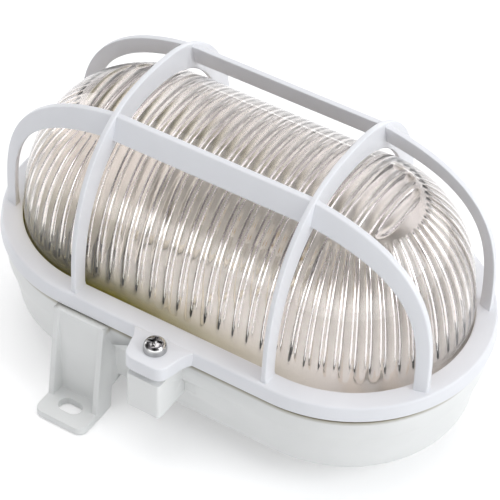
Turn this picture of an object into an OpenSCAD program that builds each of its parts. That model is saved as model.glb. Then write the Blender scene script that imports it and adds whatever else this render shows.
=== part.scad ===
// Oval bulkhead wall light with a fluted glass and a moulded guard cage.
// Origin: middle of the fixing feet, on the wall plane. +Z points out of the wall, +X along the light.

/* [Footprint] */
// Half the straight length that ring, glass, gasket and base share
spine_half = 40.5; // [38:0.5:60]
// End radius of the guard ring at its lower edge
ring_r = 50.75; // [47:0.25:60]
// Height of the base floor above the wall, which the feet bridge
standoff = 9.8; // [6:0.2:20]

/* [Base] */
// Height of the base from its underside to the gasket land
base_h = 28.3; // [25:0.1:40]
// Wall and floor thickness of the base
base_wall = 2.4; // [1.6:0.1:3.2]
// How far the base rim stays inside the guard ring's lower edge
rim_inset = 2.05; // [1.5:0.05:4]
// Height of the proud band below the rim
band_h = 9; // [6:0.2:14]
// How far the band stands out of the wall below it
band_step = 0.9; // [0.4:0.1:2]
// How far the wall leans in from the band to the floor
wall_draft = 2.4; // [0:0.1:5]
// Radius of the bottom edge
base_edge_r = 5; // [2:0.5:8]
// Width of the rim's top face under the gasket
land_w = 6.2; // [5.4:0.1:7]
// Thickness of the inner flange that carries the gasket
land_t = 2.5; // [1.5:0.1:4]

/* [Fixing lugs] */
// Distance of a lug from the middle, along the light
lug_x = 32; // [24:0.5:40]
// Width of a lug
lug_w = 20.4; // [16:0.2:26]
// How far the lug's web stands out of the base rim
lug_out = 4.3; // [3:0.1:8]
// Thickness of web and cheeks
lug_t = 2.3; // [1.6:0.1:3]
// Length of the foot in front of the web
foot_l = 13.9; // [12:0.1:20]
// Thickness of the foot
foot_t = 3.2; // [2:0.1:5]
// Corner radius of the foot
foot_r = 3.2; // [1:0.1:5]
// How far the cheeks stand out of the web at the foot
cheek_out = 5.2; // [2:0.1:8]
// Distance of the slot's middle from the web's face
slot_out = 6.2; // [5.6:0.1:8]
// Width of the slot
slot_w = 5.6; // [4:0.1:6.5]
// Length of the slot
slot_l = 8.6; // [7:0.1:12]

/* [Cover screws] */
// Distance of a cover screw's axis outside the guard ring
screw_out = 4.25; // [3.75:0.05:9]
// Thread diameter of a cover screw
screw_d = 4; // [3:0.5:5]
// Head diameter of a cover screw
head_d = 8; // [6:0.1:10]
// Head height of a cover screw
head_h = 3.8; // [2.4:0.1:4.6]
// Length of a cover screw below its head
screw_l = 26; // [24:0.5:30]
// Width of the screw boss
boss_w = 12.8; // [9.6:0.1:14]
// Reach of the boss beyond the screw
boss_reach = 7.5; // [5.5:0.1:8]
// Distance of the boss top below the ear
boss_gap = 2.8; // [0.5:0.1:4]
// Height of the boss
boss_h = 15.4; // [12:0.1:20]
// Width of the captive nut across its flats
nut_af = 7; // [5.5:0.1:8]
// Thickness of the captive nut
nut_t = 3.2; // [2.4:0.1:4]

/* [Guard cage] */
// Width of the ring's top face
ring_face = 7.2; // [6.4:0.1:9]
// Height of the ring
ring_h = 5.4; // [4.6:0.1:8]
// How far the ring's side leans in towards the top
ring_draft = 0.9; // [0:0.1:2]
// Thickness of the ring's top plate
plate_t = 2.8; // [2:0.1:3.4]
// Thickness of the ring's skirt
skirt_t = 2.6; // [1.6:0.1:3]
// Distance of a cross hoop from the end of the straight run
hoop_inset = 3.5; // [2:0.5:12]
// Thickness of a cross hoop
hoop_t = 1.9; // [1.6:0.1:4]
// Width of the ring's face left outside a hoop's foot
hoop_ledge = 1.4; // [0.6:0.1:3]
// Clearance between a hoop's foot and the glass
hoop_gap = 0.35; // [0.2:0.05:0.8]
// Clearance between the middle of a hoop and the top of the glass
crown_gap = 2.2; // [0.8:0.1:4]
// Depth of a hoop at its top
hoop_crown = 8.9; // [5:0.1:11]
// Distance of a long rib from the middle plane
rib_y = 22; // [16:0.5:26]
// Thickness of a long rib
rib_t = 2.3; // [1.6:0.1:4]
// Width of the ring's face left outside a rib's foot
rib_ledge = 2.4; // [1.5:0.05:3.5]
// Height of the rib's flat top above the top of the glass
rib_over = 6.4; // [5:0.1:10]
// Depth of a rib at the ring
rib_foot = 4.6; // [3:0.1:6]
// Depth of a rib at its top
rib_crown = 8.4; // [5:0.1:9]
// Lean of the ribs: their lower edges stand further out
rib_lean = 17; // [0:1:25]
// Half width of an ear at the ring
ear_root = 9.8; // [9:0.1:14]
// Reach of an ear beyond the screw
ear_reach = 7.9; // [6:0.1:10]
// Half width of an ear at its front
ear_nose = 7.2; // [6.5:0.1:9]

/* [Glass] */
// Gap between the glass and the ring
glass_gap = 0.4; // [0.2:0.1:1]
// Wall thickness of the glass
glass_wall = 3; // [2:0.1:4]
// Height of the glass above the ring
glass_rise = 52.3; // [46:0.1:58]
// Thickness of the glass flange
flange_t = 2.5; // [2:0.1:3.5]
// Gap between the flange and the skirt
flange_gap = 0.5; // [0.2:0.1:1]
// Thickness of the gasket
gasket_t = 2.6; // [1.6:0.1:3]
// Width of the gasket
gasket_w = 4.6; // [3:0.1:5]

/* [Flutes] */
// Spacing of the flutes along the straight run
flute_pitch = 5.33; // [4.5:0.01:8]
// Height of a flute's crest on the inside of the glass
flute_h = 1.2; // [0.6:0.1:1.6]
// Height of the flutes' lower tips above the ring
tip_h = 1.6; // [0.5:0.1:6]
// Length of a flute's rounded tip
tip_l = 2.8; // [1.5:0.1:5]
// Radius of the round field of cross flutes on each end of the glass
field_r = 19.6; // [14:0.1:24]
// Smooth border between that field and the fan of flutes round it
field_gap = 1.6; // [0.8:0.1:3]

/* [Lamp holder] */
// Height of the lamp axis above the wall
lamp_z = 46; // [42:0.5:52]
// Room between the lamp holder's back and the end of the glass
holder_room = 12.25; // [11.5:0.25:16]
// Length of the lamp holder
holder_l = 36; // [32:0.5:42]
// Outer diameter of the holder barrel
holder_d = 36; // [33:0.5:40]
// Outer diameter of the holder's back flange
holder_flange_d = 40; // [38:0.5:44]
// Thickness of the holder's back flange
holder_flange_t = 4; // [3:0.5:6]
// Inner diameter of the screw shell for an E27 lamp
shell_d = 26.6; // [26:0.1:27.2]
// Thickness of the screw shell
shell_t = 0.5; // [0.3:0.1:0.8]
// Length of the screw shell
shell_l = 20; // [16:0.5:24]
// Thickness of the bracket sheet
bracket_t = 1.5; // [1:0.1:2]
// Width of the bracket
bracket_w = 28; // [27:0.5:34]
// Height of the bosses under the bracket
stud_h = 6; // [4.5:0.5:10]

/* [Wiring] */
// Distance of the terminal block's middle from the side of the glass
terminal_room = 11.25; // [10:0.25:13]
// Width of one terminal pole
pole_w = 11; // [9:0.5:13]
// Depth of the terminal block
terminal_d = 13; // [11:0.5:14]
// Height of the terminal block
terminal_h = 12; // [10:0.5:14]
// Diameter of a lead
lead_d = 2.6; // [2:0.1:3]
// Distance of the cable grommet's middle from the end of the glass
grommet_room = 30.75; // [24:0.25:38]
// Diameter of the cable hole through the grommet
cable_d = 9; // [7:0.5:11]

/* [Hidden] */
$fn = 64;

// Clearance between a thread and its bore
fit = 0.04;
// Clearance of a loose hole
loose = 0.25;
// Overlap where solids of one piece join
join = 0.6;
// Gap between the gasket's outer side and the guard's skirt
gasket_side = 0.1;
// Gap between the top of a lug and the guard ring
lug_gap = 0.7;
// How far a cutter reaches past the surface that it opens
past = 1;

// Levels above the wall
floor_z = standoff + base_wall;
land_z = standoff + base_h;
gasket_top = land_z + gasket_t;
flange_top = gasket_top + flange_t;
ring_top = flange_top + plate_t;
ring_low = ring_top - ring_h;
boss_top = ring_low - boss_gap;
boss_low = boss_top - boss_h;
lug_top = ring_low - lug_gap;

// Radii from the spine
ring_top_r = ring_r - ring_draft;
ring_in_r = ring_top_r - ring_face;
skirt_in_r = ring_r - skirt_t;
glass_r = ring_in_r - glass_gap;
flange_r = skirt_in_r - flange_gap;
rim_r = ring_r - rim_inset;
land_in_r = rim_r - land_w;
gasket_out_r = min(rim_r, skirt_in_r) - gasket_side;
wall_r = rim_r - band_step;
foot_r_wall = wall_r - wall_draft;
band_z = land_z - band_h;

// Places of lugs, screws and grommet
lug_web_y = rim_r + lug_out;
foot_reach = lug_web_y + foot_l;
slot_y = lug_web_y + slot_out;
screw_y = ring_r + screw_out;
grommet_x = spine_half + glass_r - grommet_room;
terminal_y = glass_r - terminal_room;

// Bars of the guard cage: the curves are measured from the ring's top
hoop_x = spine_half - hoop_inset;
hoop_a = ring_top_r - hoop_ledge;
hoop_in_a = glass_r + hoop_gap;
hoop_in_rise = glass_rise + crown_gap;
hoop_rise = hoop_in_rise + hoop_crown;
rib_a = spine_half + sqrt(ring_top_r * ring_top_r - rib_y * rib_y) - rib_ledge;
rib_rise = glass_rise + rib_over;

// Lamp holder places along X, from the middle towards its back: mouth, screw shell and end of the cup
cup_room = 0.1;
shell_in = 0.5;
side_tab_t = 1;
holder_back = spine_half + glass_r - holder_room;
holder_front_x = holder_back - holder_l;
shell_r = shell_d / 2 + shell_t;
cup_r = shell_r + cup_room;
shell_x = holder_front_x + shell_in;
cup_end_x = shell_x + shell_l + side_tab_t;

plastic = [0.93, 0.94, 0.96];
base_white = [0.93, 0.94, 0.92];
steel = [0.75, 0.76, 0.78];
brass = [0.8, 0.68, 0.38];
cream = [0.86, 0.84, 0.76];

// Points of an arc about a centre, from one angle to another
function arc(cx, cy, r, from, to, steps = 8) =
    [for (i = [0:steps]) let (a = from + (to - from) * i / steps) [cx + r * cos(a), cy + r * sin(a)]];

// Point of a superellipse at an angle between 0 and 180 degrees
function oval(a, h, n, t) =
    [sign(cos(t)) * a * pow(abs(cos(t)), 2 / n), h * pow(abs(sin(t)), 2 / n)];

// Carries a section of radius and height round the spine: two half turns and two straight runs
module around_spine() {
    for (s = [-1, 1]) {
        translate([s * spine_half, 0, 0])
            rotate([0, 0, -90 * s])
                rotate_extrude(angle = 180)
                    children();
        mirror([0, s > 0 ? 0 : 1, 0])
            rotate([90, 0, 90])
                translate([0, 0, -spine_half])
                    linear_extrude(2 * spine_half)
                        children();
    }
}

// Places a child at the front and again, turned half round, at the rear
module front_and_rear() {
    children();
    rotate([0, 0, 180]) children();
}

// Outline of the base section, from the floor's middle round the outside and back along the inside
function base_section() = concat(
    [[0, standoff]],
    arc(foot_r_wall - base_edge_r, standoff + base_edge_r, base_edge_r, -90, 0),
    [[wall_r, band_z], [rim_r, band_z + band_step], [rim_r, land_z],
     [land_in_r, land_z], [land_in_r, land_z - land_t],
     [wall_r - base_wall, land_z - 2 * land_t], [wall_r - base_wall, band_z]],
    arc(foot_r_wall - base_edge_r, standoff + base_edge_r, base_edge_r - base_wall, 0, -90),
    [[0, floor_z]]);

// How far the cheeks stand in behind the web, above the foot
cheek_in = 1.4;

// One fixing lug at the front: web, top, two cheeks and a slotted foot
module lug() {
    wall_in = wall_r - base_wall / 2;
    web_in = lug_web_y - lug_t - cheek_in;
    cheek = [[-wall_in, land_z - join], [-rim_r + join, land_z - join], [-rim_r + join, lug_top],
             [-lug_web_y, lug_top], [-lug_web_y - cheek_out, foot_t], [-lug_web_y - cheek_out, 0],
             [-web_in, 0], [-web_in, standoff],
             [-foot_r_wall + base_edge_r, standoff + base_wall / 2], [-wall_in, band_z]];
    translate([-lug_x - lug_w / 2, -lug_web_y, 0])
        cube([lug_w, lug_t, lug_top]);
    translate([-lug_x - lug_w / 2, -lug_web_y, lug_top - lug_t])
        cube([lug_w, lug_web_y - rim_r + join, lug_t]);
    for (x = [-lug_x - lug_w / 2, -lug_x + lug_w / 2 - lug_t])
        translate([x, 0, 0])
            rotate([90, 0, 90])
                linear_extrude(lug_t)
                    polygon(cheek);
    translate([-lug_x, 0, 0])
        linear_extrude(foot_t)
            polygon(concat(
                [[lug_w / 2, -lug_web_y], [-lug_w / 2, -lug_web_y]],
                arc(-lug_w / 2 + foot_r, -foot_reach + foot_r, foot_r, 180, 270),
                arc(lug_w / 2 - foot_r, -foot_reach + foot_r, foot_r, 270, 360)));
}

// Slot through the foot at the front
module lug_slot() {
    translate([-lug_x, -slot_y, -past])
        linear_extrude(foot_t + 2 * past) {
            square([slot_l - slot_w, slot_w], center = true);
            for (s = [-1, 1])
                translate([s * (slot_l - slot_w) / 2, 0])
                    circle(d = slot_w);
        }
}

// Screw boss on the front wall
module screw_boss() {
    nose = screw_y + boss_reach;
    corner = lug_t / 2;
    translate([0, 0, boss_low])
        linear_extrude(boss_h)
            polygon(concat(
                [[boss_w / 2, -wall_r + base_wall], [-boss_w / 2, -wall_r + base_wall]],
                arc(-boss_w / 2 + corner, -nose + corner, corner, 180, 270, 5),
                arc(boss_w / 2 - corner, -nose + corner, corner, 270, 360, 5)));
}

// How far the nut sits inside its pocket, and the pocket's clearance across the nut's flats
nut_inset = 1;
nut_room = 0.3;

// Screw hole and nut pocket through the front boss
module boss_bore() {
    translate([0, -screw_y, boss_low - past])
        cylinder(h = boss_h + 2 * past, d = screw_d + 2 * loose);
    translate([0, -screw_y, boss_low - past])
        cylinder(h = nut_t + nut_inset + past, d = (nut_af + nut_room) / cos(30), $fn = 6);
}

// Tapping screws inside the base, and the studs that two of them hold the bracket on
tap_d = 3;
tap_head_d = 5.8;
tap_head_h = 2;
tap_floor = 0.5;
tap_depth = stud_h - tap_floor;
stud_d = 7.5;
bracket_reach = 12;
bracket_x = holder_back - bracket_reach;
bracket_y = 8;

// Stud on the floor with a blind hole for a tapping screw
module floor_stud(x, y) {
    translate([x, y, floor_z - join])
        difference() {
            cylinder(h = stud_h + join, d = stud_d);
            translate([0, 0, join + stud_h - tap_depth])
                cylinder(h = tap_depth + past, d = tap_d + 2 * fit);
        }
}

// Shallow pockets in the wall beside each boss: a tall one and a small one
// Each is given by its distance from the screw, its width, its height and its level above the floor
pockets = [[-19.5, 4, 11.6, 5], [8.6, 4.6, 4.6, 11.4]];
pocket_depth = 1;

module base_housing() color(base_white) {
    difference() {
        union() {
            around_spine() polygon(base_section());
            front_and_rear() {
                lug();
                screw_boss();
            }
            for (s = [-1, 1])
                floor_stud(-bracket_x, s * bracket_y);
        }
        front_and_rear() {
            lug_slot();
            boss_bore();
            for (p = pockets)
                translate([p[0] - p[1] / 2, -wall_r - past, floor_z + p[3]])
                    cube([p[1], past + pocket_depth, p[2]]);
        }
        translate([grommet_x, 0, standoff - past])
            cylinder(h = base_wall + 2 * past, d = grommet_neck_d + 2 * grommet_fit);
    }
}

// Cable grommet in the floor: a neck between two collars
grommet_neck_d = 15;
grommet_collar_d = 20;
grommet_collar_t = 2;
grommet_fit = 0.05;

module cable_grommet() color([0.9, 0.88, 0.84]) {
    translate([grommet_x, 0, standoff - grommet_collar_t])
        difference() {
            union() {
                cylinder(h = grommet_collar_t, d = grommet_collar_d);
                cylinder(h = base_wall + 2 * grommet_collar_t, d = grommet_neck_d);
                translate([0, 0, base_wall + grommet_collar_t])
                    cylinder(h = grommet_collar_t, d = grommet_collar_d);
            }
            translate([0, 0, -past])
                cylinder(h = base_wall + 2 * (grommet_collar_t + past), d = cable_d);
        }
}

// Gasket between the base land and the glass flange
module glass_gasket() color([0.36, 0.33, 0.2])
    around_spine()
        translate([gasket_out_r - gasket_w, land_z])
            square([gasket_w, gasket_t]);

// Glass: an oval section carried round the spine, hollowed by a cavity with flutes
glass_power = 2.25;
glass_steps = 26;

// Outline of the solid glass: over the crown, down the side and round the flange
glass_outline = concat(
    [for (i = [0:glass_steps])
        let (p = oval(glass_r, glass_rise, glass_power, 90 - 90 * i / glass_steps)) [p[0], ring_top + p[1]]],
    [[glass_r, flange_top], [flange_r, flange_top], [flange_r, gasket_top], [0, gasket_top]]);

module glass_dome() color([0.85, 0.88, 0.88, 0.5])
    difference() {
        around_spine() polygon(glass_outline);
        glass_cavity();
    }

// Cavity section, and the flutes that stand on it: cross flutes run over the straight run and over
// a round field on each end, and a fan of flutes climbs from the rim to the edge of that field
cavity_r = glass_r - glass_wall;
cavity_rise = glass_rise - glass_wall;
flute_cuts = 3;
pairs = round((spine_half + 1.5) / flute_pitch);
cross_end = pairs * flute_pitch;
fan_from = asin(min(1, max(0, cross_end - spine_half) / cavity_r));
fan_count = round((180 - 2 * fan_from) * cavity_r * PI / 180 / (0.89 * flute_pitch));
fan_step = (180 - 2 * fan_from) / fan_count;

// Crest of one flute: 1 in its middle, 0 along its edges, with q rising to 1 at a rounded tip
function crest(across, q) = max(0, 1 - 4 * across * across - q * q);

// Place across a flute, from -0.5 to 0.5
function across(v, step) = v / step - floor(v / step) - 0.5;

// How far a point lies into a rounded tip, from 0 to 1 and beyond
function into_tip(beyond) = max(0, beyond) / tip_l;

// Height of the flutes at a point of the cavity: x along the light, radius and angle about the end
function cross_flute(x, radius, h) =
    crest(across(x, flute_pitch),
          max(into_tip(tip_h + tip_l - h),
              abs(x) < cross_end ? 0 : into_tip(radius - field_r + tip_l)));
function fan_flute(radius, angle, h) =
    abs(angle) > 90 - fan_from ? 0
        : radius / cavity_r
            * crest(across(angle + 90 - fan_from, fan_step),
                    max(into_tip(tip_h + tip_l - h), into_tip(field_r + field_gap + tip_l - radius)));
function flute_height(x, radius, angle, h) =
    flute_h * max(cross_flute(x, radius, h), fan_flute(radius, angle, h));

// Rows of the cavity from rim to crown, as radius and height above the ring
function row_at_height(h) = [cavity_r * pow(1 - pow(h / cavity_rise, glass_power), 1 / glass_power), h];
function row_at_radius(r) = [r, cavity_rise * pow(1 - pow(r / cavity_r, glass_power), 1 / glass_power)];
field_rows = floor((field_r - cross_end + spine_half) / flute_pitch * 2);
cavity_rows = concat(
    [[cavity_r, gasket_top - past - ring_top], [cavity_r, 0]],
    [for (h = [tip_h, tip_h + tip_l / 2, tip_h + tip_l]) row_at_height(h)],
    [for (k = [1:4]) row_at_height(tip_h + tip_l + k * (0.72 * cavity_rise - tip_h - tip_l) / 4)],
    [for (r = [field_r + field_gap + tip_l, field_r + field_gap, field_r]) row_at_radius(r)],
    [for (k = [field_rows:-1:0]) row_at_radius(cross_end - spine_half + k * flute_pitch / 2)]);

// Inward normal of the cavity section
function row_normal(row) =
    let (g = [pow(row[0] / cavity_r, glass_power - 1) / cavity_r,
              pow(max(0, row[1]) / cavity_rise, glass_power - 1) / cavity_rise])
        -g / norm(g);

// Stations round the rim: x of the spine point that a column stands on, and its angle
cross_stations = [for (k = [-flute_cuts * pairs + 1:flute_cuts * pairs - 1])
    let (x = k * flute_pitch / flute_cuts) if (abs(x) < spine_half - 0.3) x];
fan_stations = [for (k = [0:flute_cuts * fan_count]) -90 + fan_from + k * fan_step / flute_cuts];
end_stations = concat([-90], [for (a = fan_stations) if (abs(a) < 89) a], [90]);
columns = concat(
    [for (x = cross_stations) [x, -90, 1]],
    [for (a = end_stations) [spine_half, a, 1]],
    [for (x = cross_stations) [-x, 90, 1]],
    [for (a = end_stations) [-spine_half, 180 + a, -1]]);

function cavity_point(column, row) =
    let (n = row_normal(row),
         x = column[0] + row[0] * cos(column[1]),
         local = column[2] > 0 ? column[1] : column[1] - 180,
         lift = flute_height(x, row[0], abs(column[0]) < spine_half ? 90 : local, row[1]),
         r = row[0] + lift * n[0])
        [column[0] + r * cos(column[1]), r * sin(column[1]), ring_top + row[1] + lift * n[1]];

module glass_cavity() {
    n = len(columns);
    m = len(cavity_rows);
    crown_x = concat([-spine_half], cross_stations, [spine_half]);
    crown = [for (x = crown_x)
        [x, 0, ring_top + cavity_rise - flute_h * crest(across(x, flute_pitch), 0)]];
    keel = [for (x = crown_x) [x, 0, ring_top + cavity_rows[0][1]]];
    // Crown point above a column: front columns count up along X, rear ones back down
    crown_of = [for (i = [0:n - 1])
        n * m + (columns[i][0] >= spine_half ? len(crown) - 1
                 : columns[i][0] <= -spine_half ? 0
                 : columns[i][1] < 0 ? i + 1
                 : len(crown_x) - 2 - (i - len(cross_stations) - len(end_stations)))];
    sides = [for (i = [0:n - 1], j = [0:m - 2], half = [0, 1])
        let (k = (i + 1) % n, a = i * m + j, b = k * m + j)
            half == 0 ? [a, a + 1, b] : [b, a + 1, b + 1]];
    caps = [for (i = [0:n - 1], half = [0, 1])
        let (k = (i + 1) % n, top = m - 1)
            half == 0 ? [i * m + top, crown_of[i], k * m + top]
                : [i * m, k * m, crown_of[i] + len(crown)]];
    fills = [for (i = [0:n - 1], half = [0, 1])
        let (k = (i + 1) % n)
            if (crown_of[i] != crown_of[k])
                half == 0 ? [k * m + m - 1, crown_of[i], crown_of[k]]
                    : [k * m, crown_of[k] + len(crown), crown_of[i] + len(crown)]];
    polyhedron(concat([for (c = columns, r = cavity_rows) cavity_point(c, r)], crown, keel),
               concat(sides, caps, fills), convexity = 10);
}

// Curve of a bar: a superellipse, cut to a flat top
function bar_point(a, h, n, cap, t) =
    let (p = oval(a, h, n, t)) [p[0], min(p[1], cap)];

// Cross hoop: a flat plate between an outer and an inner curve
hoop_power = 2.45;
hoop_steps = 44;

module hoop() {
    outer = [for (i = [0:hoop_steps]) oval(hoop_a, hoop_rise, hoop_power, 180 * i / hoop_steps)];
    inner = [for (i = [hoop_steps:-1:0])
        oval(hoop_in_a, hoop_in_rise, glass_power, 180 * i / hoop_steps)];
    translate([-hoop_t / 2, 0, ring_top])
        rotate([90, 0, 90])
            linear_extrude(hoop_t)
                polygon(concat([[hoop_a, -plate_t / 2]], outer, [[-hoop_a, -plate_t / 2]],
                               [[-hoop_in_a, -plate_t / 2]], inner, [[hoop_in_a, -plate_t / 2]]));
}

// Long rib: a strip swept along its curve, leaning so that its lower edge stands further out
rib_power = 3.1;
rib_in_power = 3.3;
rib_bulge = 1.5;
rib_steps = 36;

function rib_row(outer, inner) =
    let (depth = norm(outer - inner), y = rib_y + depth * tan(rib_lean))
        [[outer[0], -rib_y - rib_t / 2, outer[1]], [outer[0], -rib_y + rib_t / 2, outer[1]],
         [inner[0], -y + rib_t / 2, inner[1]], [inner[0], -y - rib_t / 2, inner[1]]];

module rib() {
    rows = concat(
        [rib_row([rib_a, -plate_t / 2], [rib_a - rib_foot, -plate_t / 2])],
        [for (i = [0:rib_steps])
            let (t = 180 * i / rib_steps)
                rib_row(bar_point(rib_a, rib_rise + rib_bulge, rib_power, rib_rise, t),
                        bar_point(rib_a - rib_foot, rib_rise - rib_crown + rib_bulge, rib_in_power,
                                  rib_rise - rib_crown, t))],
        [rib_row([-rib_a, -plate_t / 2], [-rib_a + rib_foot, -plate_t / 2])]);
    last = len(rows) - 1;
    sides = [for (i = [0:last - 1], k = [0:3], half = [0, 1])
        let (a = 4 * i + k, b = 4 * i + (k + 1) % 4)
            half == 0 ? [a, a + 4, b] : [b, a + 4, b + 4]];
    translate([0, 0, ring_top])
        polyhedron([for (r = rows, p = r) p],
                   concat([[0, 1, 2, 3]], sides, [[for (k = [3:-1:0]) 4 * last + k]]), convexity = 8);
}

// Ring section: top plate with a skirt outside it
edge = 0.7;
ring_section = [[ring_in_r, flange_top], [skirt_in_r, flange_top], [skirt_in_r, ring_low],
                [ring_r, ring_low], [ring_top_r + edge * ring_draft / ring_h, ring_top - edge],
                [ring_top_r - edge, ring_top], [ring_in_r, ring_top]];

// Screw ear at the front of the ring: its sides flare out over the ring
module ear() {
    nose_r = 4;
    flare = 2.4;
    shoulder = 3;
    nose = screw_y + ear_reach;
    root = ring_r - skirt_t / 2;
    translate([0, 0, ring_low])
        linear_extrude(ring_h)
            polygon(concat(
                [[ear_root + flare, -root], [-ear_root - flare, -root],
                 [-ear_root, -root - shoulder]],
                arc(-ear_nose + nose_r, -nose + nose_r, nose_r, 190, 270),
                arc(ear_nose - nose_r, -nose + nose_r, nose_r, 270, 350),
                [[ear_root, -root - shoulder]]));
}

module guard_cage() color(plastic)
    difference() {
        union() {
            around_spine() polygon(ring_section);
            front_and_rear() {
                ear();
                translate([hoop_x, 0, 0]) hoop();
                rib();
            }
        }
        front_and_rear()
            translate([0, -screw_y, ring_low - past])
                cylinder(h = ring_h + 2 * past, d = screw_d + 2 * loose);
    }

// Cover screw: a pan head with a domed top and a cross recess
head_crown = 1.5;
recess_l = 0.56 * head_d;
recess_w = 0.14 * head_d;
recess_depth = 1.9;
recess_turn = 18;

module cover_screw() color(steel) {
    dome_r = (head_d * head_d / 4 + head_crown * head_crown) / (2 * head_crown);
    translate([0, -screw_y, ring_top])
        difference() {
            union() {
                intersection() {
                    cylinder(h = head_h, d = head_d);
                    translate([0, 0, head_h - dome_r]) sphere(r = dome_r);
                }
                translate([0, 0, -screw_l]) cylinder(h = screw_l + join, d = screw_d);
            }
            for (a = [0, 90])
                rotate([0, 0, a + recess_turn])
                    translate([-recess_l / 2, -recess_w / 2, head_h - recess_depth])
                        cube([recess_l, recess_w, head_h]);
        }
}

module cover_screw_front() cover_screw();
module cover_screw_rear() rotate([0, 0, 180]) cover_screw();

// Captive nut in the boss pocket
module cover_nut() color(steel)
    translate([0, -screw_y, boss_low + nut_inset])
        difference() {
            cylinder(h = nut_t, d = nut_af / cos(30), $fn = 6);
            translate([0, 0, -past]) cylinder(h = nut_t + 2 * past, d = screw_d + 2 * fit);
        }

module cover_nut_front() cover_nut();
module cover_nut_rear() rotate([0, 0, 180]) cover_nut();

// Turns a piece made along +Z to lie along +X with its start at the given distance
module along_x(x) translate([x, 0, lamp_z]) rotate([0, 90, 0]) children();

// Lamp holder: a barrel with a back flange and a collar at its mouth, open towards +X
holder_tap_y = 13.5;
holder_collar_l = 3;
holder_collar_out = 1;
wire_hole_y = 6;
wire_hole_in = 10;
wire_hole_l = 6;
wire_room = 0.4;
wire_x = holder_back - wire_hole_in;
holder_low = lamp_z - holder_d / 2;

module holder_body() color([0.95, 0.95, 0.93])
    difference() {
        union() {
            along_x(-holder_back) cylinder(h = holder_l, d = holder_d);
            along_x(-holder_back) cylinder(h = holder_flange_t, d = holder_flange_d);
            along_x(-holder_front_x - holder_collar_l)
                cylinder(h = holder_collar_l, d = holder_d + 2 * holder_collar_out);
        }
        along_x(-cup_end_x) cylinder(h = holder_l, r = cup_r);
        for (s = [-1, 1]) {
            translate([-holder_back - past, s * holder_tap_y, lamp_z])
                rotate([0, 90, 0])
                    cylinder(h = tap_depth + past, d = tap_d + 2 * fit);
            translate([-wire_x, s * wire_hole_y, holder_low - past])
                cylinder(h = wire_hole_l, d = lead_d + wire_room);
        }
    }

// Rolled screw shell for the lamp cap
module holder_thread_shell() color(steel)
    along_x(-shell_x - shell_l)
        difference() {
            cylinder(h = shell_l, r = shell_r);
            translate([0, 0, -past]) cylinder(h = shell_l + 2 * past, d = shell_d);
        }

// Centre contact at the bottom of the cup
contact_t = 0.8;
contact_w = 6;
contact_l = 20;
button_d = 5;
button_h = 2.6;

module centre_contact() color(brass)
    along_x(-cup_end_x) {
        translate([-contact_l / 2, -contact_w / 2, 0]) cube([contact_l, contact_w, contact_t]);
        translate([0, 0, contact_t / 2]) cylinder(h = button_h, d = button_d);
    }

// Side contact: a tab that fills the room behind the back end of the shell
side_tab_w = 4;
side_tab_l = 1.5;

module side_contact() color(brass)
    along_x(-cup_end_x)
        translate([-side_tab_w / 2, cup_r - side_tab_l - 2 * cup_room, 0])
            cube([side_tab_w, side_tab_l, side_tab_t]);

// Folded bracket: a foot on the floor studs and an upright behind the holder
bracket_edge = 8;
bracket_drop = 4;
bracket_side = 3.5;

module holder_bracket() color(steel) {
    foot_z = floor_z + stud_h;
    foot_l = holder_back + bracket_t - bracket_x + bracket_edge;
    top_z = lamp_z + holder_flange_d / 2 - bracket_drop;
    neck_h = 8;
    back_w = 2 * (holder_tap_y + bracket_side);
    difference() {
        union() {
            translate([-holder_back - bracket_t, -bracket_w / 2, foot_z])
                cube([foot_l, bracket_w, bracket_t]);
            translate([-holder_back - bracket_t, -bracket_w / 2, foot_z])
                cube([bracket_t, bracket_w, neck_h]);
            translate([-holder_back - bracket_t, -back_w / 2, foot_z + neck_h - join])
                cube([bracket_t, back_w, top_z - foot_z - neck_h + join]);
        }
        for (s = [-1, 1]) {
            translate([-bracket_x, s * bracket_y, foot_z - past])
                cylinder(h = bracket_t + 2 * past, d = tap_d + 2 * loose);
            translate([-holder_back - bracket_t - past, s * holder_tap_y, lamp_z])
                rotate([0, 90, 0])
                    cylinder(h = bracket_t + 2 * past, d = tap_d + 2 * loose);
        }
    }
}

// Small pan head tapping screw, made pointing down from its head's seat
tap_recess_l = 0.55 * tap_head_d;
tap_recess_w = 0.14 * tap_head_d;

module tapping_screw(length) color(steel)
    difference() {
        union() {
            cylinder(h = tap_head_h, d = tap_head_d);
            translate([0, 0, -length]) cylinder(h = length + join, d = tap_d);
        }
        for (a = [0, 90])
            rotate([0, 0, a])
                translate([-tap_recess_l / 2, -tap_recess_w / 2, tap_head_h / 2])
                    cube([tap_recess_l, tap_recess_w, tap_head_h]);
    }

module holder_screw(s)
    translate([-holder_back - bracket_t, s * holder_tap_y, lamp_z])
        rotate([0, -90, 0])
            tapping_screw(tap_depth);

module holder_screw_left() holder_screw(-1);
module holder_screw_right() holder_screw(1);

module bracket_screw(s)
    translate([-bracket_x, s * bracket_y, floor_z + stud_h + bracket_t])
        tapping_screw(tap_depth);

module bracket_screw_left() bracket_screw(-1);
module bracket_screw_right() bracket_screw(1);

// Terminal block with two poles, a clamping screw at each end of a pole
clamp_d = 3.5;
clamp_h = 4;
clamp_slot_w = 0.7;
clamp_slot_h = 0.8;
clamp_in = 1;
pole_gap = 1.6;
pole_x = (pole_w + pole_gap) / 2;
entry_l = 4;

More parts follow.
